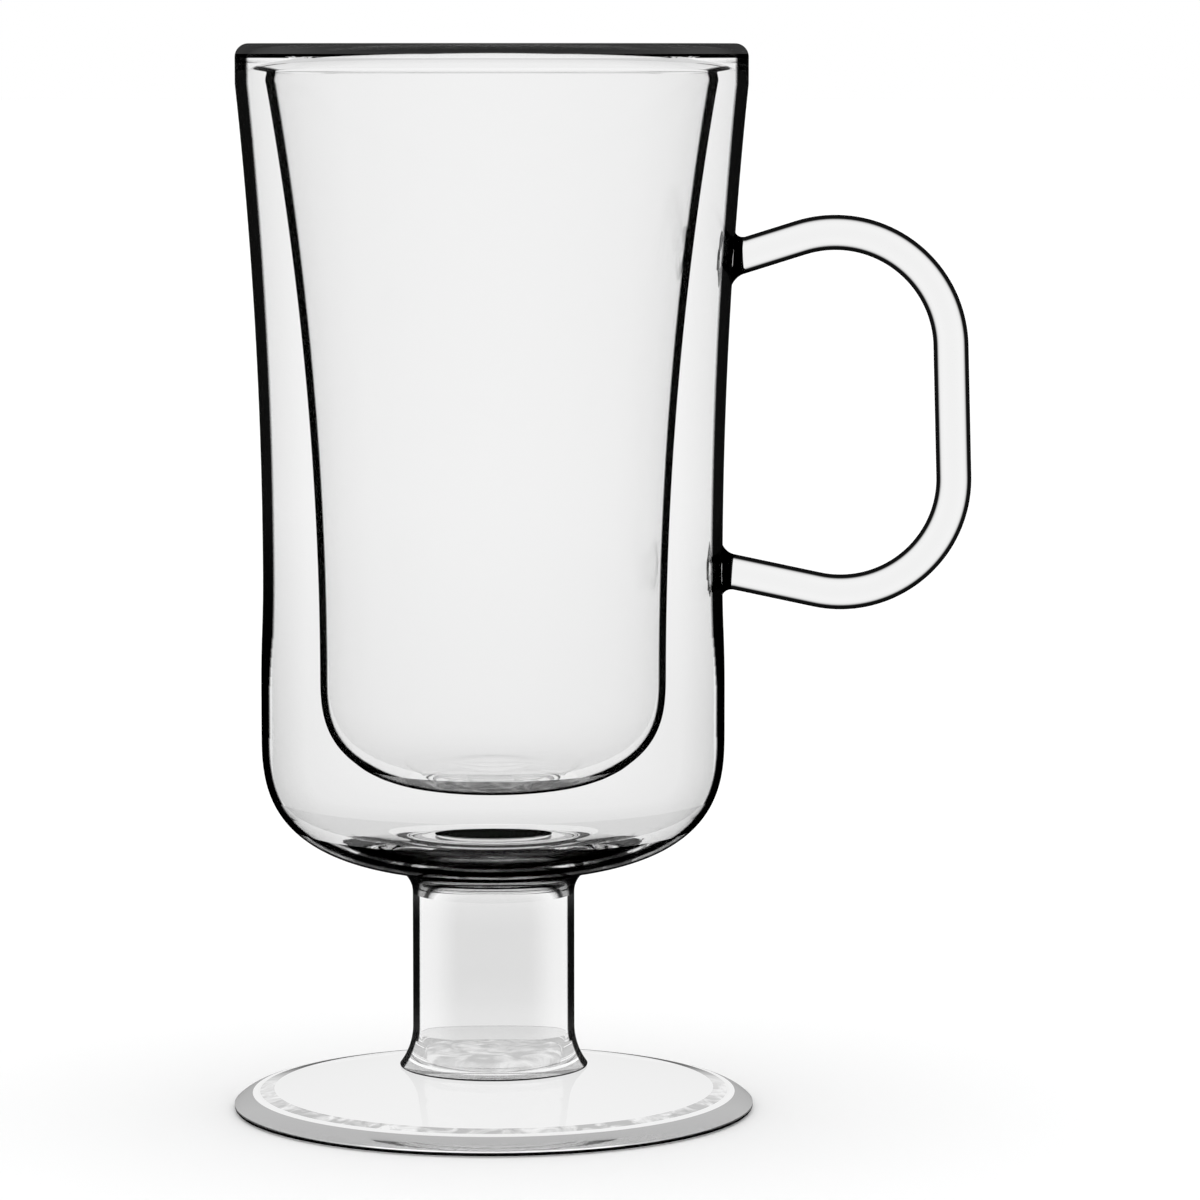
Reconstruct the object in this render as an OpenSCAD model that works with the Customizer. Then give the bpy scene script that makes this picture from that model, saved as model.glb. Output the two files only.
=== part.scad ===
// Irish coffee mug of double-walled glass, fused from six lamp-worked pieces.
// The axis of the cup is Z, the foot rests on z = 0 and the handle points along +X.

/* [Rim] */
// Height of the rim above the table
mug_height = 149.5; // [135:0.1:165]
// Outer radius of the rim
rim_r = 35.65; // [34.5:0.05:37]
// Radius of the rounded outer corner of the rim
rim_round = 1.9; // [1.7:0.1:2.2]
// Radius of the rim bead's rounded inner side
bead_round = 1.3; // [1:0.1:1.6]
// Slope of the lip below the bead, inside the cup
lip_slope = 35; // [28:1:40]
// Slope of the lip's underside, between the two walls
lip_under_slope = 26.5; // [20:0.5:30]
// Height of the upright band between that corner and the outer wall's edge
rim_band = 0.1; // [0.1:0.1:1]
// Height of the upright collar of the outer wall below that edge
collar_h = 3.6; // [2:0.1:6]
// How far the weld swells the outer wall's upper edge inwards
weld_swell = 0.55; // [0.3:0.05:0.8]
// Height of that swell
weld_swell_h = 2; // [1:0.1:3]

/* [Outer wall] */
// Thickness of the outer wall
outer_wall = 1.5; // [1.2:0.1:1.7]
// How far the waist lies inside the rim
waist_inset = 3.48; // [3.2:0.02:4]
// Height of the waist
waist_z = 75.6; // [72:0.2:80]
// How far the belly below the waist lies inside the rim
belly_inset = 3.15; // [2.6:0.05:3.2]
// Height where the belly is widest
belly_z = 59.6; // [57:0.2:62]
// Height where the belly turns into the bottom
belly_turn_z = 53.6; // [52:0.2:56]
// Depth of the rounded bottom, outside
outer_bottom_h = 20.1; // [18:0.1:22]
// Depth of the rounded bottom, inside
outer_floor_h = 16.5; // [15:0.1:17]
// Squareness of the rounded bottoms, where 2 is an ellipse
bottom_squareness = 2.88; // [2.5:0.02:3.2]
// Squareness of the outer wall's floor, inside
floor_squareness = 3.6; // [3.2:0.1:4]

/* [Inner bowl] */
// Thickness of the inner bowl
inner_wall = 1.2; // [1:0.1:1.4]
// Gap between the belly's outside and the inner bowl's outside, at its lower end
belly_gap = 8.25; // [7:0.05:10]
// How far the inner bowl's widest part, under the neck, lies inside the rim
neck_inset = 4.17; // [4:0.01:5]
// How far the neck is drawn in above that
neck_pinch = 0.28; // [0.1:0.02:0.4]
// Height of the neck
neck_h = 1.6; // [1.2:0.1:2.4]
// Height where the inner bowl starts to widen
liner_turn_z = 61.6; // [60:0.2:66]
// Depth of the rounded bottom, outside
liner_bottom_h = 16; // [14:0.1:18]
// Thickness of the bottom
liner_floor = 1.5; // [1.2:0.1:2]
// Height of the low mound in the middle of the floor
mound_h = 1; // [0.6:0.1:1.3]
// Radius of the mound
mound_r = 8; // [5:0.5:10]
// Radius of the neck's fillet below the lip, inside the cup
neck_round = 0.8; // [0.5:0.1:1]
// Radius of the neck's fillet below the lip, between the walls
neck_under_round = 0.6; // [0.4:0.1:0.9]
// Radius of the fillet where the neck meets the wall below it
neck_foot_round = 3; // [2:0.5:4]

/* [Vent plug] */
// Radius of the plug in the middle of the outer wall's floor
plug_r = 8.35; // [6:0.05:9]
// How far the plug stands above the floor
plug_rise = 0.15; // [0.1:0.05:0.5]
// How far the plug stands out below the floor
plug_drop = 1.1; // [0.5:0.1:1.5]
// Rounding of the plug's edges
plug_round = 0.45; // [0.3:0.05:0.5]
// Slope of the plug's crowned top at its edge
plug_crown = 5; // [3:0.5:8]

/* [Stem] */
// Outer radius of the stem
stem_r = 11.38; // [10.5:0.02:12.5]
// Thickness of the stem
stem_wall = 1; // [0.8:0.1:1.3]
// Radius of the fillet under the outer wall
stem_top_round = 3.6; // [1.5:0.1:5]
// How far that fillet runs out into the wall
stem_feather = 0.1; // [0.05:0.05:0.3]
// How far the stem flares out onto the foot
stem_flare = 1.85; // [1.4:0.05:2.2]
// Height of that flare
stem_flare_h = 5.8; // [4:0.1:7]
// Rounding of the toe where the flare stands on the foot
stem_toe = 0.25; // [0.15:0.05:0.4]

/* [Foot] */
// Radius of the foot
foot_r = 36.6; // [34:0.1:39]
// Height of the seat where the stem stands
foot_seat_h = 5.9; // [5.2:0.1:7.5]
// Radius of the crease where the edge band meets the top
foot_crease_r = 33.3; // [31.5:0.1:33.8]
// Height of that crease
foot_crease_h = 2.4; // [2:0.05:3]
// Height of the foot's upright rim
foot_rim_h = 0.75; // [0.7:0.05:1.2]
// Rounding under the rim
foot_round = 0.55; // [0.4:0.05:0.6]
// Bulge of the edge band, out of its chord
foot_bulge = 0.3; // [0.15:0.05:0.45]
// Inner radius of the ring that the foot stands on
foot_ring_r = 26; // [22:0.5:29]
// Height of the hollow under the foot
foot_hollow_h = 2.8; // [2:0.1:3.2]
// Height of the boss inside the stem, above the seat
boss_h = 1.7; // [1:0.1:2.2]
// Rounding of the boss
boss_round = 1.2; // [0.6:0.1:1.5]

/* [Handle] */
// Radius of the glass rod
rod_r = 2.45; // [2:0.05:2.8]
// Distance of the grip's centre line from the waist
grip_reach = 31.81; // [28:0.01:38]
// Lean of the grip, which moves its lower end away from the cup
grip_lean = 1.6; // [0:0.2:4]
// Radius of the upper bend
upper_bend_r = 16.2; // [15:0.1:19]
// Height of the upper bend's centre
upper_bend_z = 107.1; // [103:0.1:110]
// Fall of the upper arm towards the cup
upper_arm_slope = 17.4; // [10:0.2:20]
// Radius of the lower bend
lower_bend_r = 15.8; // [13:0.1:17]
// Height of the lower bend's centre
lower_bend_z = 88.8; // [86:0.1:93]
// Rise of the lower arm towards the cup
lower_arm_slope = 12; // [6:0.2:15]
// Radius of the fillets where the arms are fused to the wall
weld_round = 1.9; // [1.2:0.1:2.2]
// How far each fillet turns from the rod towards the wall
weld_angle = 60; // [40:5:75]

/* [Hidden] */

// Steps of a gentle wall, of a rounded bottom and of a fillet
wall_steps = 12;
bottom_steps = 20;
fillet_steps = 6;
// Segments of a full turn, steps of a bend and sides of the rod
turn_segments = 72;
bend_steps = 16;
rod_sides = 24;
// Steps that find where a line meets the wall
meeting_steps = 5;
// How far a cutting shape runs past what it cuts
overrun = 2;

// Heights and radii that follow from the driving sizes
rim_weld_z = mug_height - rim_round - rim_band;
rim_inner_r = rim_r - outer_wall;
collar_z = rim_weld_z - collar_h;
outer_bottom_z = belly_turn_z - outer_bottom_h;
outer_floor_z = belly_turn_z - outer_floor_h;
rim_centre = [rim_r - rim_round, mug_height - rim_round];
bead_centre = [rim_r - rim_round, mug_height - bead_round];
waist_r = rim_r - waist_inset;
belly_r = rim_r - belly_inset;
liner_r = belly_r - belly_gap;
lip_under = [rim_inner_r - weld_swell, rim_weld_z];
bead_foot = bead_centre - [bead_round, 0];
neck_r = rim_r - neck_inset - neck_pinch;
neck = [neck_r, lip_under.y - (lip_under.x - neck_r) * tan(lip_under_slope)];
neck_in_r = neck_r - inner_wall;
neck_in = [neck_in_r, bead_foot.y - (bead_foot.x - neck_in_r) * tan(lip_slope)];
neck_foot = neck + [neck_pinch, -neck_h];
liner_inner_r = liner_r - inner_wall;
liner_inner_h = liner_bottom_h - liner_floor;
upper_bend_x = waist_r + grip_reach - upper_bend_r;
lower_bend_x = upper_bend_x
    + ((upper_bend_z - lower_bend_z) * sin(grip_lean) + upper_bend_r - lower_bend_r) / cos(grip_lean);
stem_bore_r = stem_r - stem_wall;
stem_flare_r = stem_r + stem_flare;

// Points of one round bend that starts upright at one point and ends at the other
function upright_bend(start, end, steps) =
    let (run = end.y - start.y,
         rise = end.x - start.x,
         bend_r = (run * run + rise * rise) / (2 * rise),
         side = sign(bend_r))
    [for (i = [0:steps])
        let (z = run * i / steps)
        [start.x + bend_r - side * sqrt(bend_r * bend_r - z * z), start.y + z]];

// Points of a rounded bottom from its upright edge down to the axis
function rounded_bottom(r, h, top_z, squareness) =
    [for (i = [0:bottom_steps])
        let (t = 90 * i / bottom_steps)
        [r * pow(max(cos(t), 0), 2 / squareness), top_z - h * pow(sin(t), 2 / squareness)]];

// Height of the outer wall's rounded bottom at a radius, outside
function bottom_z(r) =
    belly_turn_z - outer_bottom_h
        * pow(1 - pow(r / belly_r, bottom_squareness), 1 / bottom_squareness);

// Points of an arc about a centre
function arc(centre, r, from, to, steps) =
    [for (i = [0:steps])
        let (a = from + (to - from) * i / steps)
        centre + r * [cos(a), sin(a)]];

function unit(v) = v / norm(v);

// Points of a fillet of radius r in the corner at b, between the lines to a and to c
function fillet(a, b, c, r) =
    let (u = unit(a - b),
         v = unit(c - b),
         half = acos(u * v) / 2,
         centre = b + unit(u + v) * r / sin(half),
         from = b + u * r / tan(half) - centre,
         to = b + v * r / tan(half) - centre,
         start = atan2(from.y, from.x),
         full = atan2(to.y, to.x) - start,
         sweep = full > 180 ? full - 360 : full < -180 ? full + 360 : full)
    arc(centre, r, start, start + sweep, fillet_steps);

function reversed(points) = [for (i = [len(points) - 1:-1:0]) points[i]];

// A list of points without its first, which the list before it has already
function after_first(points) = [for (i = [1:len(points) - 1]) points[i]];

// A list of points without its last, which a fillet takes away
function before_last(points) = [for (i = [0:len(points) - 2]) points[i]];

// The outer wall's outside, from the axis up to the edge under the rim
waist = [waist_r, waist_z];
belly = [belly_r, belly_z];
between = (waist + belly) / 2;
outer_side = concat(
    reversed(rounded_bottom(belly_r, outer_bottom_h, belly_turn_z, bottom_squareness)),
    upright_bend(belly, between, fillet_steps),
    after_first(reversed(upright_bend(waist, between, fillet_steps))),
    after_first(upright_bend(waist, [rim_r, collar_z], wall_steps)),
    [[rim_r, rim_weld_z]]);

// Its inside: the same wall moved in, on a floor of its own
outer_inside = concat(
    reversed(rounded_bottom(belly_r - outer_wall, outer_floor_h, belly_turn_z, floor_squareness)),
    [for (p = outer_side) if (p.y > belly_turn_z && p.y < rim_weld_z) p - [outer_wall, 0]],
    upright_bend([rim_inner_r, rim_weld_z - weld_swell_h], lip_under, fillet_steps));

// Radius of the outer wall at a height, outside
function wall_r(z) = lookup(z, [for (p = outer_side) [p.y, p.x]]);

// The inner bowl's outside and inside, from the axis up to the foot of the neck
liner_wall = after_first(upright_bend([liner_r, liner_turn_z], neck_foot, wall_steps));
neck_foot_fillet = fillet(liner_wall[wall_steps - 2], neck_foot, neck, neck_foot_round);
liner_side = concat(
    reversed(rounded_bottom(liner_r, liner_bottom_h, liner_turn_z, bottom_squareness)),
    before_last(liner_wall),
    neck_foot_fillet);

function mound(r) = r < mound_r ? mound_h * (1 + cos(180 * r / mound_r)) / 2 : 0;
liner_inside = concat(
    [for (p = reversed(rounded_bottom(liner_inner_r, liner_inner_h, liner_turn_z, bottom_squareness)))
        p + [0, mound(p.x)]],
    [for (p = concat(before_last(liner_wall), neck_foot_fillet)) p - [inner_wall, 0]]);

// What the outer wall fills, to cut the pieces that are fused to its outside
module outer_form() {
    polygon(concat(outer_side, [[0, rim_weld_z]]));
}

module inner_bowl() {
    color("azure")
        rotate_extrude($fn = turn_segments)
            polygon(concat(
                liner_side,
                fillet(neck_foot, neck, lip_under, neck_under_round),
                [lip_under, [rim_r, rim_weld_z]],
                arc(rim_centre, rim_round, 0, 90, 2 * fillet_steps),
                after_first(arc(bead_centre, bead_round, 90, 180, fillet_steps)),
                fillet(bead_foot, neck_in, neck_foot - [inner_wall, 0], neck_round),
                reversed(liner_inside)));
}

module outer_bowl() {
    color("lightcyan")
        rotate_extrude($fn = turn_segments)
            difference() {
                polygon(concat(outer_side, reversed(outer_inside)));
                translate([0, outer_bottom_z - overrun])
                    square([plug_r, outer_bottom_h]);
            }
}

module vent_plug() {
    low = outer_bottom_z - plug_drop;
    high = outer_floor_z + plug_rise;
    crown_r = (plug_r - plug_round) / sin(plug_crown) + plug_round;
    crown_z = high - plug_round - (crown_r - plug_round) * cos(plug_crown);
    color("paleturquoise")
        rotate_extrude($fn = turn_segments)
            polygon(concat(
                [[0, low]],
                arc([plug_r - plug_round, low + plug_round], plug_round, -90, 0, fillet_steps),
                arc([plug_r - plug_round, high - plug_round], plug_round, 0, 90 - plug_crown, fillet_steps),
                after_first(arc([0, crown_z], crown_r, 90 - plug_crown, 90, fillet_steps))));
}

module stem() {
    top_r = stem_r + stem_top_round;
    fillet_z = bottom_z(top_r) + stem_feather - stem_top_round;
    top_z = outer_bottom_z + overrun;
    flare_z = foot_seat_h + stem_flare_h;
    toe_z = foot_seat_h + stem_toe;
    color("lightblue")
        rotate_extrude($fn = turn_segments)
            difference() {
                polygon(concat(
                    [[stem_bore_r, foot_seat_h]],
                    arc([stem_flare_r - stem_toe, toe_z], stem_toe, -90, 0, fillet_steps),
                    after_first(reversed(
                        upright_bend([stem_r, flare_z], [stem_flare_r, toe_z], fillet_steps))),
                    arc([top_r, fillet_z], stem_top_round, 180, 90, fillet_steps),
                    [[top_r, top_z], [stem_bore_r, top_z]]));
                outer_form();
            }
}

module foot() {
    corner = [foot_r - foot_round, foot_round];
    crease = [foot_crease_r, foot_crease_h];
    edge = [foot_r, foot_rim_h];
    chord = norm(edge - crease);
    bulge_r = (chord * chord / 4 + foot_bulge * foot_bulge) / (2 * foot_bulge);
    half_turn = asin(chord / 2 / bulge_r);
    outward = unit([crease.y - edge.y, edge.x - crease.x]);
    facing = atan2(outward.y, outward.x);
    bulge_centre = (edge + crease) / 2 - outward * (bulge_r - foot_bulge);
    boss_top = foot_seat_h + boss_h;
    color("aliceblue")
        rotate_extrude($fn = turn_segments)
            polygon(concat(
                [[0, foot_hollow_h]],
                hollow(foot_ring_r, foot_hollow_h),
                arc(corner, foot_round, -90, 0, fillet_steps),
                arc(bulge_centre, bulge_r, facing - half_turn, facing + half_turn, fillet_steps),
                [[stem_flare_r, foot_seat_h], [stem_bore_r, foot_seat_h]],
                arc([stem_bore_r - boss_round, boss_top - boss_round], boss_round, 0, 90, fillet_steps),
                [[0, boss_top]]));
}

// Points of the hollow under the foot, a low round crown
function hollow(r, h) =
    [for (i = [1:fillet_steps])
        let (share = i / fillet_steps)
        [r * share, h * (1 + cos(180 * share)) / 2]];

// The rod's cross-section about a centre, where a is the way to the outside of the bend
function rod_ring(centre, a, r) =
    [for (i = [0:rod_sides - 1])
        let (turn = 360 * i / rod_sides)
        centre + r * [cos(turn) * cos(a), sin(turn), cos(turn) * sin(a)]];

// The point at an angle on a bend's centre line
function on_bend(centre, bend_r, a) = centre + bend_r * [cos(a), 0, sin(a)];

// The cross-sections of a bend between two angles
function bend_rings(centre, bend_r, from, to) =
    [for (i = [0:bend_steps])
        let (a = from + (to - from) * i / bend_steps)
        rod_ring(on_bend(centre, bend_r, a), a, rod_r)];

// Where a line through p along u meets the outer wall
function on_wall(p, u, steps) =
    let (gap = p.x - sqrt(pow(wall_r(p.z), 2) - p.y * p.y))
    steps < 1 ? p : on_wall(p - u * gap / u.x, u, steps - 1);

// The cross-sections of the fillet that flares an arm along u onto the wall, wall last
function weld_rings(end, a, u) =
    [for (i = [0:fillet_steps])
        let (turn = weld_angle * i / fillet_steps,
             r = rod_r + weld_round * (1 - cos(turn)),
             above = weld_round * (sin(weld_angle) - sin(turn)))
        [for (p = rod_ring(end, a, r)) on_wall(p, u, meeting_steps) - u * above]];

// The rod is swept from the lower weld through both bends to the upper weld
module handle() {
    low_a = -90 - lower_arm_slope;
    high_a = 90 + upper_arm_slope;
    low_u = [sin(low_a), 0, -cos(low_a)];
    high_u = [-sin(high_a), 0, cos(high_a)];
    low_bend = [lower_bend_x, 0, lower_bend_z];
    high_bend = [upper_bend_x, 0, upper_bend_z];
    rings = concat(
        reversed(weld_rings(on_bend(low_bend, lower_bend_r, low_a), low_a, low_u)),
        bend_rings(low_bend, lower_bend_r, low_a, grip_lean),
        bend_rings(high_bend, upper_bend_r, grip_lean, high_a),
        weld_rings(on_bend(high_bend, upper_bend_r, high_a), high_a, high_u));
    count = len(rings) * rod_sides;
    centres = [for (ring = [rings[0], rings[len(rings) - 1]])
        on_wall((ring[0] + ring[rod_sides / 2]) / 2, high_u, meeting_steps)];
    sides = [for (k = [0:len(rings) - 2], i = [0:rod_sides - 1])
        let (a = k * rod_sides + i,
             b = k * rod_sides + (i + 1) % rod_sides)
        each [[a, a + rod_sides, b], [b, a + rod_sides, b + rod_sides]]];
    caps = [for (i = [0:rod_sides - 1])
        let (next = (i + 1) % rod_sides,
             last = count - rod_sides)
        each [[count, i, next], [count + 1, last + next, last + i]]];
    color("powderblue")
        polyhedron(points = concat([for (ring = rings) each ring], centres),
                   faces = concat(sides, caps));
}

inner_bowl();
outer_bowl();
vent_plug();
handle();
stem();
foot();
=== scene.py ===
import math

import bpy
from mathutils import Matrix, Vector


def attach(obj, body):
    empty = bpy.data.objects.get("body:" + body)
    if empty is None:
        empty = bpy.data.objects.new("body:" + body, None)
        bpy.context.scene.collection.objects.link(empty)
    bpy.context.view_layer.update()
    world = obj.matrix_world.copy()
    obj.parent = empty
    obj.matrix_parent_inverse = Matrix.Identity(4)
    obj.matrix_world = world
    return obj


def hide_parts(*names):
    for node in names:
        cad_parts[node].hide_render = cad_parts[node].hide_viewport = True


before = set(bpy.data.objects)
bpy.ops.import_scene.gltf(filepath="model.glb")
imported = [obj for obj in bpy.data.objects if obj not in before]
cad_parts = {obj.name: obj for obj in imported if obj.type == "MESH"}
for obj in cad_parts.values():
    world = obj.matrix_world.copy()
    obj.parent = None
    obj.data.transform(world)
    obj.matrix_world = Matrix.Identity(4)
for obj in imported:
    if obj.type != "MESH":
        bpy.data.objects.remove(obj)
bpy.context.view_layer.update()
bpy.ops.object.select_all(action="DESELECT")

# Outer bowl: the blown jacket of clear borosilicate glass, with a waist, a low belly and a
# thick floor that is open in the middle. Its upper edge is fused to the rim, its floor to the
# plug and the stem, and its wall to both ends of the handle.
mm = 0.001
rim_r = 35.65 * mm
mug_height = 149.5 * mm
outer_wall = 1.5 * mm
rim_round = 1.9 * mm
rim_band = 0.1 * mm
collar_h = 3.6 * mm
weld_swell = 0.55 * mm
weld_swell_h = 2 * mm
waist = (rim_r - 3.48 * mm, 75.6 * mm)
belly = (rim_r - 3.15 * mm, 59.6 * mm)
belly_turn_z = 53.6 * mm
outer_bottom_h = 20.1 * mm
outer_floor_h = 16.5 * mm
bottom_squareness = 2.88
floor_squareness = 3.6
plug_r = 8.35 * mm
plug_rise = 0.15 * mm
plug_round = 0.45 * mm
stem_r = 11.38 * mm
stem_wall = 1 * mm
stem_top_round = 3.6 * mm
turns = 192
belly_shades = 7
belly_edge = 0.715
belly_edge_step = 0.0075
smooth_angle = math.radians(40)
merge_gap = 1e-6
same_point = 1e-7
z_span = 160 * mm
swirl_scale = 260
swirl_detail = 3
swirl_distortion = 1.2
swirl_spots = [(0, 1), (0.4, 1), (0.64, 0), (1, 0)]


def bend(start, end, steps):
    """Points of the arc that leaves start upright and ends at end."""
    run = end[1] - start[1]
    rise = end[0] - start[0]
    radius = (run * run + rise * rise) / (2 * rise)
    points = []
    for i in range(steps + 1):
        z = run * i / steps
        r = start[0] + radius - math.copysign(math.sqrt(radius * radius - z * z), radius)
        points.append((r, start[1] + z))
    return points


def bottom(r, h, top_z, squareness, start, end, steps):
    """Points of a rounded bottom, a superellipse, between two radii."""
    first = math.acos((start / r) ** (squareness / 2))
    last = math.acos((end / r) ** (squareness / 2))
    points = []
    for i in range(steps + 1):
        t = first + (last - first) * i / steps
        across = max(math.cos(t), 0) ** (2 / squareness)
        points.append((r * across, top_z - h * math.sin(t) ** (2 / squareness)))
    return points


def arc(centre, radius, start, end, steps):
    """Points of an arc between two angles in degrees."""
    points = []
    for i in range(steps + 1):
        a = math.radians(start + (end - start) * i / steps)
        points.append((centre[0] + radius * math.cos(a), centre[1] + radius * math.sin(a)))
    return points


def fillet(a, b, c, radius, steps):
    """Points of the fillet in the corner at b, between the lines to a and to c."""
    to_a = (Vector(a) - Vector(b)).normalized()
    to_c = (Vector(c) - Vector(b)).normalized()
    half = to_a.angle(to_c) / 2
    centre = Vector(b) + (to_a + to_c).normalized() * radius / math.sin(half)
    first = Vector(b) + to_a * radius / math.tan(half) - centre
    last = Vector(b) + to_c * radius / math.tan(half) - centre
    start = math.degrees(math.atan2(first.y, first.x))
    turn = (math.degrees(math.atan2(last.y, last.x)) - start + 180) % 360 - 180
    return arc(centre, radius, start, start + turn, steps)


def lathe(name, stretches):
    """Extrudes one point along an outline and spins it about the cup's axis.

    A stretch is a material and its points. Each starts where the one before it ends.
    """
    bpy.ops.mesh.primitive_plane_add(size=rim_r)
    piece = bpy.context.object
    piece.name = piece.data.name = name
    bpy.ops.object.mode_set(mode="EDIT")
    bpy.ops.mesh.merge(type="CENTER")
    here = stretches[0][1][0]
    bpy.ops.transform.translate(value=(here[0], 0, here[1]))
    looks = {}
    for look, points in stretches:
        if look.name not in piece.data.materials:
            piece.data.materials.append(look)
        for point in points:
            step = (point[0] - here[0], 0, point[1] - here[1])
            if math.hypot(step[0], step[2]) < same_point:
                continue
            bpy.ops.mesh.extrude_region_move(TRANSFORM_OT_translate={"value": step})
            middle = (here[0] + point[0]) / 2, (here[1] + point[1]) / 2
            looks[middle] = piece.data.materials.find(look.name)
            here = point
    bpy.ops.mesh.select_all(action="SELECT")
    bpy.ops.mesh.spin(steps=turns, angle=math.tau, center=(0, 0, 0), axis=(0, 0, 1))
    bpy.ops.mesh.select_all(action="SELECT")
    bpy.ops.mesh.remove_doubles(threshold=merge_gap)
    bpy.ops.mesh.normals_make_consistent(inside=False)
    bpy.ops.object.mode_set(mode="OBJECT")
    for face in piece.data.polygons:
        corners = [piece.data.vertices[v].co for v in face.vertices]
        radii = [math.hypot(co.x, co.y) for co in corners]
        heights = [co.z for co in corners]
        r = (min(radii) + max(radii)) / 2
        z = (min(heights) + max(heights)) / 2
        near = min(looks, key=lambda spot: abs(spot[0] - r) + abs(spot[1] - z))
        face.material_index = looks[near]
    bpy.ops.object.shade_smooth_by_angle(angle=smooth_angle)
    piece.select_set(False)
    return piece


def number(tree, operation, first, second=0):
    """The output of a math node that takes plain numbers or other outputs."""
    step = tree.nodes.new("ShaderNodeMath")
    step.operation = operation
    for socket, value in zip(step.inputs, (first, second)):
        if isinstance(value, bpy.types.NodeSocket):
            tree.links.new(value, socket)
        else:
            socket.default_value = value
    return step.outputs["Value"]


def grey_ramp(tree, stops, position):
    """The output of a colour ramp whose stops are positions and grey levels."""
    ramp = tree.nodes.new("ShaderNodeValToRGB")
    for stop, level in stops:
        known = [e for e in ramp.color_ramp.elements if e.position == stop]
        element = known[0] if known else ramp.color_ramp.elements.new(stop)
        element.color = (level, level, level, 1)
    tree.links.new(position, ramp.inputs["Fac"])
    return ramp.outputs["Color"]


def clear_glass(name, entering, leaving=((0, 1), (1, 1)), depth=((0, 0.5), (1, 0.5)), ior=1.47,
                mirror=1.7, shine=None, wave=0, swirl_shade=((0, 0), (1, 0)), upright=False):
    """Clear glass that bends what is behind it, mirrors a little and has painted dark edges.

    entering and leaving are its grey ramps for light that goes in and out, from face-on, at 0,
    to edge-on, at 1: glass tints face-on, and painted shade where they drop to near black
    towards edge-on. depth deepens the entering ramp by height: 0.5 keeps it, and 1 squares it.
    It mirrors by Fresnel's law to the power mirror, tinted alike or by shine, whose darkening
    towards edge-on is painted shade. wave is the height of the swirls in its surface, and
    smear how much they darken what goes in, by facing, which is painted shade. An upright
    wall takes its facing on the level, so its painted dark edge stays thin from above.
    """
    look = bpy.data.materials.new(name)
    look.use_nodes = True
    tree = look.node_tree
    nodes = tree.nodes
    links = tree.links
    nodes.clear()
    output = nodes.new("ShaderNodeOutputMaterial")
    facing = nodes.new("ShaderNodeLayerWeight")
    facing.inputs["Blend"].default_value = 0.5
    edge_on = facing.outputs["Facing"]
    if upright:
        up = nodes.new("ShaderNodeCombineXYZ")
        up.inputs["Z"].default_value = 1
        overhead = nodes.new("ShaderNodeLayerWeight")
        overhead.inputs["Blend"].default_value = 0.5
        links.new(up.outputs["Vector"], overhead.inputs["Normal"])
        steep = number(tree, "SUBTRACT", 1, overhead.outputs["Facing"])
        level = number(tree, "SUBTRACT", 1, number(tree, "MULTIPLY", steep, steep))
        face_on = number(tree, "SUBTRACT", 1, edge_on)
        face_on = number(tree, "DIVIDE", face_on, number(tree, "SQRT", level))
        edge_on = number(tree, "SUBTRACT", 1, face_on)
    where = nodes.new("ShaderNodeTexCoord")
    height = nodes.new("ShaderNodeSeparateXYZ")
    links.new(where.outputs["Object"], height.inputs["Vector"])
    by_height = grey_ramp(tree, depth, number(tree, "DIVIDE", height.outputs["Z"], z_span))
    twice = number(tree, "MULTIPLY", by_height, 2)
    going_in = number(tree, "POWER", grey_ramp(tree, entering, edge_on), twice)
    through = nodes.new("ShaderNodeBsdfRefraction")
    back = nodes.new("ShaderNodeBsdfAnisotropic")
    fresnel = nodes.new("ShaderNodeFresnel")
    if wave:
        swirl = nodes.new("ShaderNodeTexNoise")
        swirl.inputs["Scale"].default_value = swirl_scale
        swirl.inputs["Detail"].default_value = swirl_detail
        swirl.inputs["Distortion"].default_value = swirl_distortion
        links.new(where.outputs["Object"], swirl.inputs["Vector"])
        swell = nodes.new("ShaderNodeBump")
        swell.inputs["Distance"].default_value = wave
        links.new(swirl.outputs["Fac"], swell.inputs["Height"])
        for shader in (facing, through, back, fresnel):
            links.new(swell.outputs["Normal"], shader.inputs["Normal"])
        # Painted shade: the swirls darken what goes in, more towards edge-on
        spots = grey_ramp(tree, swirl_spots, swirl.outputs["Fac"])
        darker = number(tree, "MULTIPLY", spots, grey_ramp(tree, swirl_shade, edge_on))
        going_in = number(tree, "MULTIPLY", going_in, number(tree, "SUBTRACT", 1, darker))
    side = nodes.new("ShaderNodeNewGeometry")
    # Glass tints face-on, near black towards edge-on: the painted dark edges
    tint_and_edge_shade = nodes.new("ShaderNodeMix")
    links.new(side.outputs["Backfacing"], tint_and_edge_shade.inputs["Factor"])
    links.new(going_in, tint_and_edge_shade.inputs["A"])
    links.new(grey_ramp(tree, leaving, edge_on), tint_and_edge_shade.inputs["B"])
    for shader in (through, back):
        shader.inputs["Roughness"].default_value = 0
        links.new(tint_and_edge_shade.outputs["Result"], shader.inputs["Color"])
    fresnel.inputs["IOR"].default_value = through.inputs["IOR"].default_value = ior
    if shine:
        links.new(grey_ramp(tree, shine, facing.outputs["Facing"]), back.inputs["Color"])
    both = nodes.new("ShaderNodeMixShader")
    links.new(number(tree, "POWER", fresnel.outputs["Fac"], mirror), both.inputs["Fac"])
    links.new(through.outputs["BSDF"], both.inputs[1])
    links.new(back.outputs["BSDF"], both.inputs[2])
    links.new(both.outputs["Shader"], output.inputs["Surface"])
    return look


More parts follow.
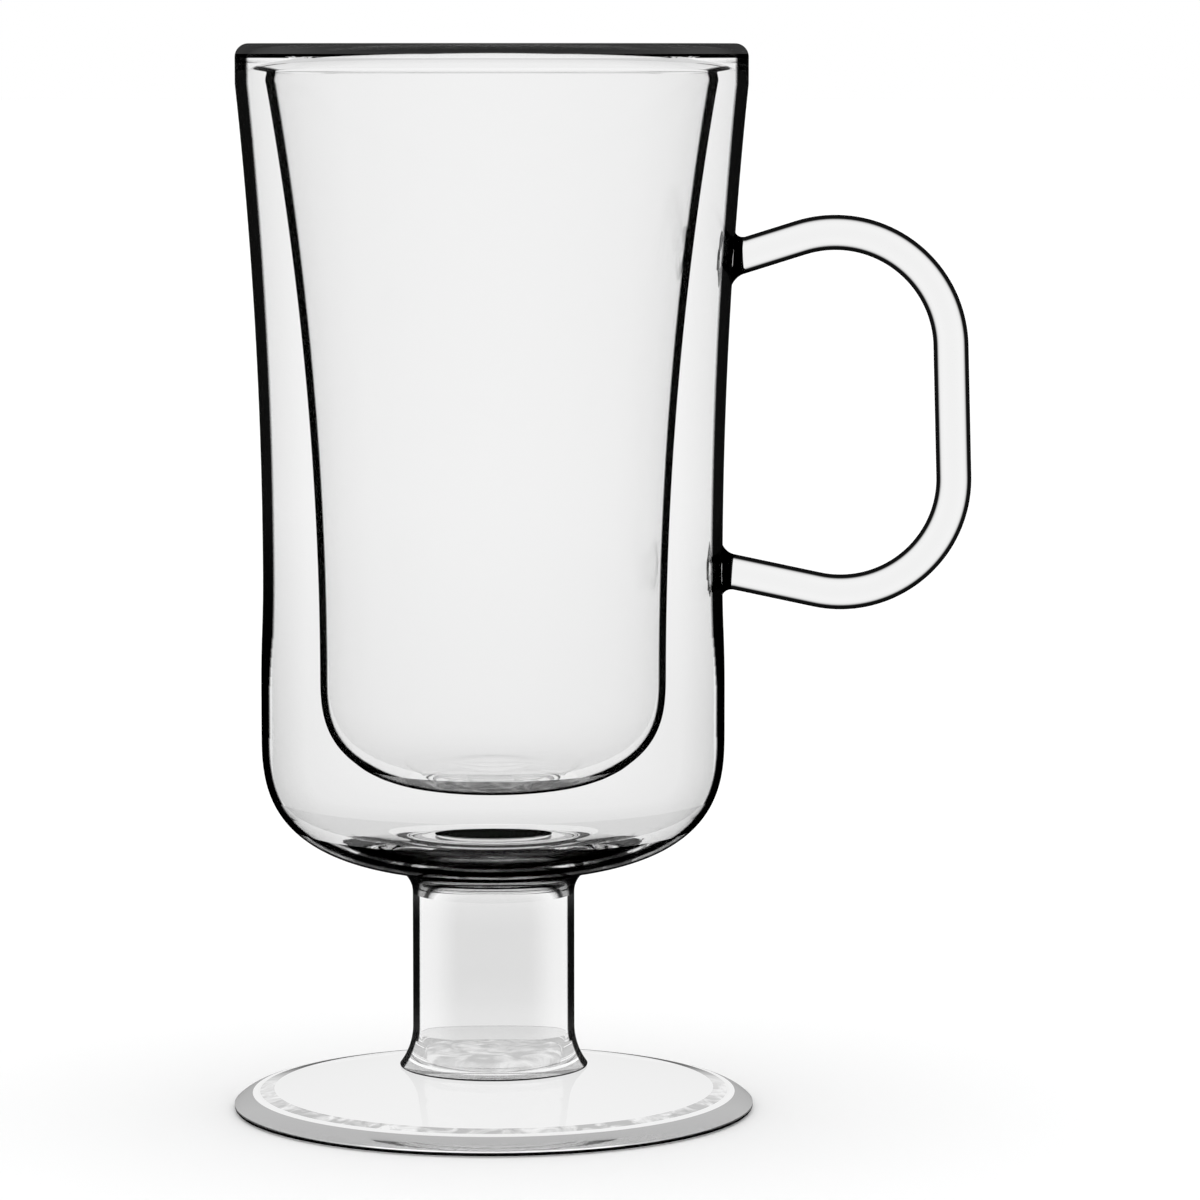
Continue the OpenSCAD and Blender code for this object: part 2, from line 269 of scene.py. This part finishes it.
def fused_glass(name, level):
    """A joint melted into one, which light crosses without a bend, tinted by level."""
    look = bpy.data.materials.new(name)
    look.use_nodes = True
    nodes = look.node_tree.nodes
    nodes.clear()
    output = nodes.new("ShaderNodeOutputMaterial")
    across = nodes.new("ShaderNodeBsdfTransparent")
    across.inputs["Color"].default_value = (level, level, level, 1)
    look.node_tree.links.new(across.outputs["BSDF"], output.inputs["Surface"])
    return look


fused = fused_glass("fused_joint", 1)

low_depth = ((0, 0.95), (44 * mm / z_span, 0.95), (85 * mm / z_span, 0.5), (1, 0.5))
jacket_clear = [(0, 0.97), (0.41, 0.945), (0.52, 0.918), (0.6, 0.9), (0.66, 0.87)]
jacket_kind = {"depth": low_depth, "mirror": 2.5, "upright": True}
# The jacket's outside is clear face-on and painted black towards edge-on: painted dark outline
jacket_outside = clear_glass(
    "jacket_outside", jacket_clear + [(0.675, 0.86), (0.708, 0.005), (0.93, 0.005), (1, 0.1)],
    **jacket_kind)
# Shaded copies, one per band of the belly: lower ones start their painted black outline later
belly_looks = []
for i in range(belly_shades):
    edge = belly_edge + belly_edge_step * i
    belly_looks.append(clear_glass(
        "belly_%d" % i,
        jacket_clear + [(edge - 0.03, 0.85), (edge, 0.005), (0.94, 0.005), (1, 0.1)],
        **jacket_kind))
# The turn into the bottom is painted black towards edge-on: painted dark outline
turn_outside = clear_glass(
    "turn_outside",
    [(0, 0.93), (0.5, 0.9), (0.6, 0.85), (0.7, 0.78), (0.75, 0.65), (0.78, 0.01), (1, 0.01)],
    depth=low_depth)
# The jacket's floor outside: grey and black bands by facing and darkened swirls, painted shade
floor_outside = clear_glass(
    "floor_outside",
    [(0, 0.95), (0.3, 0.9), (0.37, 0.7), (0.42, 0.6), (0.445, 0.3), (0.465, 0.18), (0.49, 0.3),
     (0.52, 0.09), (0.55, 0.006), (0.63, 0.006), (0.655, 0.7), (0.675, 0.7), (0.7, 0.004),
     (0.8, 0.004), (0.84, 0.4), (0.87, 0.3), (0.9, 0.006), (1, 0.004)],
    wave=0.012 * mm, swirl_shade=[(0, 0), (0.45, 0), (0.55, 0.6), (1, 0.6)])
jacket_inside = clear_glass(
    "jacket_inside", [(0, 0.97), (0.47, 0.94), (0.61, 0.915), (0.71, 0.898), (1, 0.88)],
    **jacket_kind)
# Light leaving the floor inside at a slant is darkened to a tenth: painted shade
floor_inside = clear_glass(
    "floor_inside", [(0, 0.97), (1, 0.95)], [(0, 1), (0.26, 1), (0.3, 0.1), (1, 0.1)],
    wave=0.02 * mm)

rim_weld_z = mug_height - rim_round - rim_band
lip_under = (rim_r - outer_wall - weld_swell, rim_weld_z)
collar = (rim_r, rim_weld_z - collar_h)
between = ((waist[0] + belly[0]) / 2, (waist[1] + belly[1]) / 2)
upper_side = bend(waist, collar, 60)[::-1] + bend(waist, between, 12)
belly_side = bend(belly, between, 12)[::-1] + [(belly[0], belly_turn_z)]
outer_side = upper_side + belly_side
inner_side = (
    bend((rim_r - outer_wall, rim_weld_z - weld_swell_h), lip_under, 8)[::-1]
    + [(r - outer_wall, z) for r, z in outer_side]
)


def below(r):
    """Height of the jacket's rounded bottom at a radius, outside."""
    share = (r / belly[0]) ** bottom_squareness
    return belly_turn_z - outer_bottom_h * (1 - share) ** (1 / bottom_squareness)


def jacket_bottom(start, end, steps):
    return bottom(belly[0], outer_bottom_h, belly_turn_z, bottom_squareness, start, end, steps)


# The stem's fillet meets the bottom where both have this slope
fillet_r = stem_r + stem_top_round
share = (fillet_r / belly[0]) ** bottom_squareness
bottom_slope = math.atan(
    outer_bottom_h / fillet_r * share * (1 - share) ** (1 / bottom_squareness - 1))
stem_top_r = stem_r + stem_top_round * (1 - math.sin(bottom_slope))
stem_bore_r = stem_r - stem_wall
plug_top_z = belly_turn_z - outer_floor_h + plug_rise
floor_r = belly[0] - outer_wall
turn_start_r = 31.3 * mm
turn_end_r = 28.5 * mm
vent_melt_r = 15 * mm

outer_bowl = lathe("outer_bowl_glass", [
    (fused, [lip_under, (rim_r, rim_weld_z)]),
    (jacket_outside, [(rim_r, rim_weld_z)] + upper_side),
    *[(belly_looks[i], belly_side[2 * i:2 * i + 3]) for i in range(belly_shades - 2)],
    (belly_looks[-2], belly_side[-4:]),
    (belly_looks[-1], jacket_bottom(belly[0], turn_start_r, 16)),
    (turn_outside, jacket_bottom(turn_start_r, turn_end_r, 12)),
    (floor_outside, jacket_bottom(turn_end_r, stem_top_r, 20)),
    (fused, jacket_bottom(stem_top_r, stem_bore_r, 8)),
    (floor_outside, jacket_bottom(stem_bore_r, plug_r, 4)),
    (fused, [(plug_r, below(plug_r)), (plug_r, plug_top_z - plug_round)]),
    (floor_inside,
     bottom(floor_r, outer_floor_h, belly_turn_z, floor_squareness, plug_r, vent_melt_r, 12)),
    (jacket_inside,
     bottom(floor_r, outer_floor_h, belly_turn_z, floor_squareness, vent_melt_r, floor_r, 44)
     + inner_side[::-1]),
])
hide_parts("outer_bowl")
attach(outer_bowl, "root")

# Vent plug: a small disc of glass, melted into the vent in the jacket's floor once the walls
# are joined. It stands a little proud on both sides, with rounded edges and a crowned top.
plug_drop = 1.1 * mm
plug_crown = 5
plug_glass = clear_glass("plug_glass", [(0, 0.97), (1, 0.9)])
# The crowned top is painted black towards edge-on, a painted dark lens: painted shade
plug_top = clear_glass(
    "plug_top", [(0, 0.97), (0.62, 0.93), (0.65, 0.004), (1, 0.004)], mirror=4)
plug_low_z = belly_turn_z - outer_bottom_h - plug_drop
crown_r = (plug_r - plug_round) / math.sin(math.radians(plug_crown)) + plug_round
crown_z = plug_top_z - plug_round - (crown_r - plug_round) * math.cos(math.radians(plug_crown))
vent_plug = lathe("vent_plug_glass", [
    (plug_glass,
     [(0, plug_low_z)]
     + arc((plug_r - plug_round, plug_low_z + plug_round), plug_round, -90, 0, 8)
     + [(plug_r, below(plug_r))]),
    (fused, [(plug_r, below(plug_r)), (plug_r, plug_top_z - plug_round)]),
    (plug_top,
     arc((plug_r - plug_round, plug_top_z - plug_round), plug_round, 0, 90 - plug_crown, 8)
     + arc((0, crown_z), crown_r, 90 - plug_crown, 90, 12)),
])
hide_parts("vent_plug")
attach(vent_plug, "root")

# Inner bowl: the liner that holds the drink. It widens upwards to a narrow neck, flares out
# into the lip and ends in the fire-polished bead of the rim, which is fused to the jacket.
inner_wall = 1.2 * mm
liner_r = 24.25 * mm
liner_turn_z = 61.6 * mm
liner_bottom_h = 16 * mm
liner_floor = 1.5 * mm
mound_h = 1 * mm
mound_r = 8 * mm
liner_base_r = 18.8 * mm
neck_inset = 4.17 * mm
neck_pinch = 0.28 * mm
neck_h = 1.6 * mm
neck_round = 0.8 * mm
neck_under_round = 0.6 * mm
neck_foot_round = 3 * mm
neck_lead = 6
bead_round = 1.3 * mm
lip_slope = 35
lip_under_slope = 26.5
bead_clear_angle = 14
# The liner's outside is painted black towards edge-on: painted dark outline
liner_outside = clear_glass(
    "liner_outside",
    [(0, 0.97), (0.3, 0.965), (0.5, 0.955), (0.66, 0.93), (0.7, 0.85), (0.73, 0.004), (1, 0.004)],
    upright=True)
# The liner's base: grey and black by facing and darkened swirls, painted shade
liner_base = clear_glass(
    "liner_base",
    [(0, 0.97), (0.4, 0.92), (0.5, 0.6), (0.6, 0.45), (0.7, 0.42), (0.82, 0.35), (0.86, 0.02),
     (0.88, 0.004), (1, 0.004)],
    wave=0.015 * mm, swirl_shade=[(0, 0.5), (1, 0.5)])
liner_inside = clear_glass("liner_inside", [(0, 0.97), (0.3, 0.965), (0.5, 0.94), (1, 0.85)])
# The lip, above and beneath, is painted black towards edge-on: painted dark edges
lip_edges = [(0, 0.97), (0.82, 0.95), (0.87, 0.01), (1, 0.01)]
lip_glass = clear_glass("lip_glass", lip_edges, lip_edges, ior=1.15)
lip_beneath = clear_glass("lip_beneath", [(0, 0.97), (0.74, 0.9), (0.78, 0.01), (1, 0.01)])
# Rim bead painted near black off face-on, its mirroring darker edge-on: painted shade
rim_glass_painted_dark = clear_glass(
    "rim_glass_painted_dark",
    [(0, 0.97), (0.04, 0.97), (0.065, 0.02), (0.16, 0.03), (0.27, 0.01), (0.44, 0.05),
     (0.75, 0.005), (1, 0.005)],
    mirror=1, shine=[(0, 1), (0.4, 0.9), (0.7, 0.15), (1, 0.02)])
rim_centre = (rim_r - rim_round, mug_height - rim_round)
bead_centre = (rim_r - rim_round, mug_height - bead_round)
bead_foot = (bead_centre[0] - bead_round, bead_centre[1])
neck_r = rim_r - neck_inset - neck_pinch
neck = (
    neck_r,
    lip_under[1] - (lip_under[0] - neck_r) * math.tan(math.radians(lip_under_slope)),
)
neck_in_r = neck_r - inner_wall
neck_in = (
    neck_in_r,
    bead_foot[1] - (bead_foot[0] - neck_in_r) * math.tan(math.radians(lip_slope)),
)
neck_foot = (neck[0] + neck_pinch, neck[1] - neck_h)
liner_wall = bend((liner_r, liner_turn_z), neck_foot, 70)
before_neck = liner_wall[-neck_lead]
liner_wall = liner_wall[:-1] + fillet(before_neck, neck_foot, neck, neck_foot_round, 8)
neck_fillet = fillet(neck_foot, neck, lip_under, neck_under_round, 8)
liner_in_r = liner_r - inner_wall
liner_in_h = liner_bottom_h - liner_floor


def mounded(point):
    """The point raised by the low mound in the middle of the floor."""
    share = min(point[0] / mound_r, 1)
    return point[0], point[1] + mound_h * (1 + math.cos(math.pi * share)) / 2


inner_floor = bottom(liner_in_r, liner_in_h, liner_turn_z, bottom_squareness, liner_in_r, 0, 60)
inner_bowl = lathe("inner_bowl_glass", [
    (liner_base,
     bottom(liner_r, liner_bottom_h, liner_turn_z, bottom_squareness, 0, liner_base_r, 25)),
    (liner_outside,
     bottom(liner_r, liner_bottom_h, liner_turn_z, bottom_squareness, liner_base_r, liner_r, 25)
     + liner_wall
     + neck_fillet),
    (lip_beneath, [neck_fillet[-1], lip_under]),
    (fused, [lip_under, (rim_r, rim_weld_z)]),
    (jacket_outside, [(rim_r, rim_weld_z)] + arc(rim_centre, rim_round, 0, bead_clear_angle, 4)),
    (rim_glass_painted_dark, arc(rim_centre, rim_round, bead_clear_angle, 90, 20)),
    (lip_glass,
     arc(bead_centre, bead_round, 90, 180, 20)
     + fillet(bead_foot, neck_in, (neck_foot[0] - inner_wall, neck_foot[1]), neck_round, 8)),
    (liner_inside,
     [(r - inner_wall, z) for r, z in liner_wall[::-1]]
     + [mounded(point) for point in inner_floor]),
])
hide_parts("inner_bowl")
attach(inner_bowl, "root")

# Stem: a short drawn tube. Its upper end is fused to the jacket's bottom with a fillet, and its
# lower end flares out to a rounded toe, fused onto the foot round the foot's low boss.
stem_flare = 1.85 * mm
stem_flare_h = 5.8 * mm
stem_toe = 0.25 * mm
stem_flare_points = 12
foot_seat_z = 5.9 * mm
boss_h = 1.7 * mm
boss_round = 1.2 * mm
stem_depth = (
    (0, 0.3), (12 * mm / z_span, 0.36), (17 * mm / z_span, 0.5), (27 * mm / z_span, 0.5),
    (31 * mm / z_span, 0.3), (1, 0.3))
joint_line = fused_glass("joint_line", 0.7)
# The stem is painted a little darker face-on and black towards edge-on: painted shade
stem_outside = clear_glass(
    "stem_outside",
    [(0, 0.846), (0.12, 0.85), (0.25, 0.9), (0.36, 0.93), (0.54, 0.945), (0.58, 0.9),
     (0.61, 0.005), (1, 0.005)],
    depth=stem_depth, upright=True)
# The stem's fillet: grey and black bands by facing, painted shade
stem_neck = clear_glass(
    "stem_neck",
    [(0, 0.846), (0.12, 0.85), (0.25, 0.93), (0.33, 0.97), (0.4, 0.6), (0.44, 0.06), (0.48, 0.06),
     (0.52, 0.35), (0.6, 0.35), (0.68, 0.006), (1, 0.004)])
# The stem's toe is painted black all over: painted shade
stem_toe_painted_dark = clear_glass("stem_toe_painted_dark", [(0, 0.02), (1, 0.01)])
# The flare is painted like the stem's outside: painted shade
stem_flare_glass = clear_glass(
    "stem_flare_glass",
    [(0, 0.846), (0.12, 0.85), (0.25, 0.9), (0.36, 0.93), (0.62, 0.945), (0.65, 0.9),
     (0.68, 0.005), (1, 0.005)],
    depth=stem_depth, upright=True)
# The stem's bore is painted a little darker face-on: painted shade
stem_inside = clear_glass(
    "stem_inside", [(0, 0.846), (0.12, 0.85), (0.25, 0.9), (0.36, 0.93), (1, 0.945)],
    depth=stem_depth)
seat_r = stem_r + stem_flare
toe_centre = (seat_r - stem_toe, foot_seat_z + stem_toe)
fillet_centre = (fillet_r, below(stem_top_r) - stem_top_round * math.cos(bottom_slope))
boss_side_z = foot_seat_z + boss_h - boss_round
stem_foot = bend((stem_r, foot_seat_z + stem_flare_h), (seat_r, toe_centre[1]), 16)[::-1]
stem = lathe("stem_glass", [
    (fused, [(stem_bore_r, boss_side_z), (stem_bore_r, foot_seat_z)]),
    (joint_line, [(stem_bore_r, foot_seat_z), (toe_centre[0], foot_seat_z)]),
    (stem_toe_painted_dark, arc(toe_centre, stem_toe, -90, 0, 8)),
    (stem_flare_glass, stem_foot[:stem_flare_points]),
    (stem_outside, stem_foot[stem_flare_points - 1:] + [(stem_r, fillet_centre[1])]),
    (stem_neck, arc(fillet_centre, stem_top_round, 180, 90 + math.degrees(bottom_slope), 14)),
    (fused, jacket_bottom(stem_top_r, stem_bore_r, 8)),
    (stem_inside, [(stem_bore_r, below(stem_bore_r)), (stem_bore_r, boss_side_z)]),
])
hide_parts("stem")
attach(stem, "root")

# Foot: a pressed disc. Its top rises as a low cone to the stem's seat, its edge is a rounded
# band over a small upright rim, and it stands on a flat ring round a shallow hollow.
foot_r = 36.6 * mm
foot_crease = (33.3 * mm, 2.4 * mm)
foot_rim_z = 0.75 * mm
foot_round = 0.55 * mm
foot_bulge = 0.3 * mm
foot_ring_r = 26 * mm
foot_hollow_h = 2.8 * mm
foot_ring = (31 * mm, 33 * mm)
hollow_steps = 30
crease_share = 0.6
foot_top = clear_glass("foot_top", [(0, 0.93), (0.58, 0.9), (1, 0.84)], wave=0.006 * mm)
# The foot's edge: clear face-on, then a painted grey band towards edge-on: painted shade
foot_edge = clear_glass(
    "foot_edge",
    [(0, 1), (0.13, 1), (0.17, 0.6), (0.3, 0.47), (0.7, 0.5), (0.85, 0.45), (1, 0.35)])
foot_crease_glass = clear_glass("foot_crease_glass", [(0, 0.9), (1, 0.88)])
# The foot's lower corner is painted black: a painted dark underline, painted shade
foot_corner = clear_glass(
    "foot_corner", [(0, 0.3), (0.02, 0.005), (1, 0.004)], [(0, 0.5), (1, 0.5)])
foot_under = clear_glass("foot_under", [(0, 0.97), (1, 0.95)], ior=1.12)
# The boss: darkened swirls, painted shade
boss_glass = clear_glass(
    "boss_glass", [(0, 0.93), (0.58, 0.9), (1, 0.84)], wave=0.03 * mm,
    swirl_shade=[(0, 0.2), (1, 0.35)])
# A ring of the foot's top: darkened swirls and a black edge towards edge-on, painted shade
foot_swirl_shade = clear_glass(
    "foot_swirl_shade", [(0, 0.93), (0.58, 0.9), (0.85, 0.86), (0.91, 0.15), (1, 0.05)], wave=0.01 * mm,
    swirl_shade=[(0, 0.15), (0.5, 0.4), (0.72, 0.4), (0.85, 0.15), (0.9, 0), (1, 0)])
edge_point = (foot_r, foot_rim_z)
chord = math.dist(edge_point, foot_crease)
bulge_r = (chord * chord / 4 + foot_bulge * foot_bulge) / (2 * foot_bulge)
half_turn = math.degrees(math.asin(chord / 2 / bulge_r))
facing_out = math.degrees(
    math.atan2(edge_point[0] - foot_crease[0], foot_crease[1] - edge_point[1]))
bulge_depth = bulge_r - foot_bulge
bulge_centre = (
    (edge_point[0] + foot_crease[0]) / 2 - bulge_depth * math.cos(math.radians(facing_out)),
    (edge_point[1] + foot_crease[1]) / 2 - bulge_depth * math.sin(math.radians(facing_out)),
)
crease_start = facing_out + crease_share * half_turn
hollow = []
for i in range(hollow_steps + 1):
    share = i / hollow_steps
    hollow.append((foot_ring_r * share, foot_hollow_h * (1 + math.cos(math.pi * share)) / 2))
boss_centre = (stem_bore_r - boss_round, boss_side_z)


def on_top(r):
    """The point of the foot's conical top at a radius."""
    share = (foot_crease[0] - r) / (foot_crease[0] - seat_r)
    return r, foot_crease[1] + (foot_seat_z - foot_crease[1]) * share


foot = lathe("foot_glass", [
    (foot_under, hollow + [(foot_r - foot_round, 0)]),
    (foot_corner, arc((foot_r - foot_round, foot_round), foot_round, -90, 0, 10)),
    (foot_edge,
     [(foot_r, foot_round)]
     + arc(bulge_centre, bulge_r, facing_out - half_turn, crease_start, 10)),
    (foot_crease_glass,
     arc(bulge_centre, bulge_r, crease_start, facing_out + half_turn, 4)),
    (foot_top, [foot_crease, on_top(foot_ring[1])]),
    (foot_swirl_shade, [on_top(foot_ring[1]), on_top(foot_ring[0])]),
    (foot_top, [on_top(foot_ring[0]), (seat_r, foot_seat_z), (toe_centre[0], foot_seat_z)]),
    (joint_line, [(toe_centre[0], foot_seat_z), (stem_bore_r, foot_seat_z)]),
    (fused, [(stem_bore_r, foot_seat_z), (stem_bore_r, boss_side_z)]),
    (boss_glass, arc(boss_centre, boss_round, 0, 90, 10) + [(0, foot_seat_z + boss_h)]),
])
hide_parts("foot")
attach(foot, "root")

# Handle: one solid glass rod, bent twice in the flame. Both arms end in a flare that is fused
# onto the jacket, sunk a hair into it so that the two pieces share one joint.
rod_r = 2.45 * mm
grip_reach = 31.81 * mm
grip_lean_deg = 1.6
upper_bend_r = 16.2 * mm
upper_bend_z = 107.1 * mm
upper_arm_slope = 17.4
lower_bend_r = 15.8 * mm
lower_bend_z = 88.8 * mm
lower_arm_slope = 12
weld_round = 1.9 * mm
weld_angle = 60
weld_depth = 0.05 * mm
# How far out from the jacket the handle is painted near black at the weld: painted shade
weld_dark = 1.2 * mm
rod_sides = 64
bend_steps = 40
flare_steps = 10
wall_tries = 5
# The rod is painted black towards edge-on: painted dark outlines
rod_glass = clear_glass(
    "rod_glass", [(0, 0.88), (0.12, 0.9), (0.24, 0.86), (0.31, 0.6), (0.38, 0.02), (0.42, 0.006),
     (1, 0.006)],
    upright=True)
# Near the jacket the rod is painted near black and mirrors faintly: painted shade at the weld
weld_glass_painted_dark = clear_glass(
    "weld_glass_painted_dark", [(0, 0.03), (0.25, 0.008), (1, 0.004)], [(0, 0.02), (1, 0.02)], mirror=6)
grip_lean = math.radians(grip_lean_deg)
upper_bend = Vector((waist[0] + grip_reach - upper_bend_r, 0, upper_bend_z))
lower_bend = Vector((
    upper_bend.x + ((upper_bend_z - lower_bend_z) * math.sin(grip_lean)
                    + upper_bend_r - lower_bend_r) / math.cos(grip_lean),
    0, lower_bend_z))
lean_out = Vector((math.cos(grip_lean), 0, math.sin(grip_lean)))


def wall_r(z):
    """Radius of the jacket at a height, outside."""
    for (r_high, high), (r_low, low) in zip(outer_side, outer_side[1:]):
        if low <= z <= high:
            return r_low + (r_high - r_low) * (z - low) / (high - low)
    return rim_r


def onto_wall(co, way, above):
    """The point moved along way until it is the distance above from the jacket."""
    for _ in range(wall_tries):
        gap = co.x - math.sqrt(wall_r(co.z) ** 2 - co.y ** 2)
        co = co - way * (gap / way.x)
    return co - way * above


def pick_ring(centre):
    """Selects the ring of the rod whose middle is at centre."""
    bpy.ops.object.mode_set(mode="OBJECT")
    for part in (handle.data.polygons, handle.data.edges, handle.data.vertices):
        part.foreach_set("select", [False] * len(part))
    for vertex in handle.data.vertices:
        vertex.select = abs((vertex.co - centre).length - rod_r) < merge_gap
    bpy.ops.object.mode_set(mode="EDIT")


def arm(centre, bend_r, slope, side):
    """Bends the rod from the picked ring and leads it to the wall with a flare."""
    angle = math.radians(90 + slope) - side * grip_lean
    bpy.ops.mesh.spin(steps=bend_steps, angle=side * angle, center=centre, axis=(0, 1, 0))
    turned = math.radians(90 + slope)
    way = Vector((-math.sin(turned), 0, side * math.cos(turned)))
    end = centre + Vector((math.cos(turned), 0, side * math.sin(turned))) * bend_r
    for i in range(flare_steps + 2):
        bpy.ops.mesh.extrude_region_move()
        bpy.ops.object.mode_set(mode="OBJECT")
        turn = math.radians(weld_angle) * min(i, flare_steps) / flare_steps
        reach = rod_r + weld_round * (1 - math.cos(turn))
        above = weld_round * (math.sin(math.radians(weld_angle)) - math.sin(turn))
        if i > flare_steps:
            above = -weld_depth
        for vertex in handle.data.vertices:
            if vertex.select:
                offset = vertex.co - end
                offset = (offset - way * offset.dot(way)).normalized() * reach
                vertex.co = onto_wall(end + offset, way, above)
        bpy.ops.object.mode_set(mode="EDIT")
    bpy.ops.mesh.edge_face_add()


bpy.ops.mesh.primitive_circle_add(
    vertices=rod_sides, radius=rod_r, location=lower_bend + lean_out * lower_bend_r,
    rotation=(0, -grip_lean, 0))
handle = bpy.context.object
handle.name = handle.data.name = "handle_glass"
for look in (rod_glass, fused, weld_glass_painted_dark):
    handle.data.materials.append(look)
bpy.ops.object.transform_apply(location=True, rotation=True, scale=True)
bpy.ops.object.mode_set(mode="EDIT")
bpy.ops.mesh.select_mode(type="VERT")
bpy.ops.mesh.select_all(action="SELECT")
grip = upper_bend + lean_out * upper_bend_r - lower_bend - lean_out * lower_bend_r
bpy.ops.mesh.extrude_region_move(TRANSFORM_OT_translate={"value": grip})
pick_ring(upper_bend + lean_out * upper_bend_r)
arm(upper_bend, upper_bend_r, upper_arm_slope, 1)
pick_ring(lower_bend + lean_out * lower_bend_r)
arm(lower_bend, lower_bend_r, lower_arm_slope, -1)
bpy.ops.mesh.select_all(action="SELECT")
bpy.ops.mesh.remove_doubles(threshold=merge_gap)
bpy.ops.mesh.normals_make_consistent(inside=False)
bpy.ops.object.mode_set(mode="OBJECT")
# Faces sunk in the jacket are fused, and faces near it get the painted weld shade
for face in handle.data.polygons:
    gap = math.hypot(face.center.x, face.center.y) - wall_r(face.center.z)
    look = fused if gap < 0 else weld_glass_painted_dark if gap < weld_dark else rod_glass
    face.material_index = handle.data.materials.find(look.name)
bpy.ops.object.shade_smooth_by_angle(angle=smooth_angle)
handle.select_set(False)
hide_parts("handle")
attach(handle, "root")

# The jacket takes the ends of the handle in two shallow seats that are part of the joint
cutter = handle.copy()
cutter.data = handle.data.copy()
bpy.context.collection.objects.link(cutter)
for slot in range(len(cutter.data.materials)):
    cutter.data.materials[slot] = fused
seats = outer_bowl.modifiers.new("handle_seats", "BOOLEAN")
seats.operation = "DIFFERENCE"
seats.solver = "EXACT"
seats.material_mode = "TRANSFER"
seats.object = cutter
bpy.context.view_layer.objects.active = outer_bowl
outer_bowl.select_set(True)
bpy.ops.object.modifier_apply(modifier="handle_seats")
outer_bowl.select_set(False)
bpy.data.objects.remove(cutter)

# Studio: a plain white floor that keeps the mug's soft shadow. What the glass bends sees it
# evenly white.
floor_colour = 0.9
floor_size = 30
floor_drop = 0.1 * mm
bpy.ops.mesh.primitive_plane_add(size=floor_size, location=(0, 0, -floor_drop))
floor = bpy.context.object
floor.name = "floor"
floor_look = bpy.data.materials.new("floor_white")
floor_look.use_nodes = True
nodes = floor_look.node_tree.nodes
links = floor_look.node_tree.links
paper = nodes["Principled BSDF"]
paper.inputs["Base Color"].default_value = (floor_colour, floor_colour, floor_colour, 1)
paper.inputs["Roughness"].default_value = 1
paper.inputs["Specular IOR Level"].default_value = 0
lit = nodes.new("ShaderNodeEmission")
path = nodes.new("ShaderNodeLightPath")
floor_mix = nodes.new("ShaderNodeMixShader")
links.new(path.outputs["Is Transmission Ray"], floor_mix.inputs["Fac"])
links.new(paper.outputs["BSDF"], floor_mix.inputs[1])
links.new(lit.outputs["Emission"], floor_mix.inputs[2])
links.new(floor_mix.outputs["Shader"], nodes["Material Output"].inputs["Surface"])
floor.data.materials.append(floor_look)

# Light: an even white surround, a little darker high up for what the glass mirrors and bends
surround_strength = 1.22
world = bpy.data.worlds.new("surround")
bpy.context.scene.world = world
world.use_nodes = True
tree = world.node_tree
nodes = tree.nodes
links = tree.links
nodes.clear()
output = nodes.new("ShaderNodeOutputWorld")
path = nodes.new("ShaderNodeLightPath")
by_glass = number(
    tree, "MAXIMUM", path.outputs["Is Glossy Ray"], path.outputs["Is Transmission Ray"])
even = nodes.new("ShaderNodeBackground")
even.inputs["Strength"].default_value = surround_strength
seen = nodes.new("ShaderNodeBackground")
seen.inputs["Strength"].default_value = 1
even.inputs["Color"].default_value = seen.inputs["Color"].default_value = (1, 1, 1, 1)
overhead = nodes.new("ShaderNodeBackground")
where = nodes.new("ShaderNodeTexCoord")
height = nodes.new("ShaderNodeSeparateXYZ")
links.new(where.outputs["Generated"], height.inputs["Vector"])
high = grey_ramp(tree, [(0, 1), (0.5, 1), (1, 0.5)], height.outputs["Z"])
links.new(high, overhead.inputs["Color"])
to_camera = nodes.new("ShaderNodeMixShader")
links.new(path.outputs["Is Camera Ray"], to_camera.inputs["Fac"])
links.new(even.outputs["Background"], to_camera.inputs[1])
links.new(seen.outputs["Background"], to_camera.inputs[2])
to_glass = nodes.new("ShaderNodeMixShader")
links.new(by_glass, to_glass.inputs["Fac"])
links.new(to_camera.outputs["Shader"], to_glass.inputs[1])
links.new(overhead.outputs["Background"], to_glass.inputs[2])
links.new(to_glass.outputs["Shader"], output.inputs["Surface"])

# Camera: the photograph's view, level with the rim and looking a little down
camera_place = (0.015, -0.7695, 0.1488)
camera_down = 5.71
lens_mm = 165.51
sensor_mm = 36
glass_bounces = 40
mirror_bounces = 20
bpy.ops.object.camera_add(
    location=camera_place, rotation=(math.radians(90 - camera_down), 0, 0))
camera = bpy.context.object
camera.data.lens = lens_mm
camera.data.sensor_width = sensor_mm
scene = bpy.context.scene
scene.camera = camera
scene.view_settings.view_transform = "Standard"
scene.cycles.max_bounces = glass_bounces
scene.cycles.transmission_bounces = glass_bounces
scene.cycles.glossy_bounces = mirror_bounces
scene.cycles.transparent_max_bounces = glass_bounces
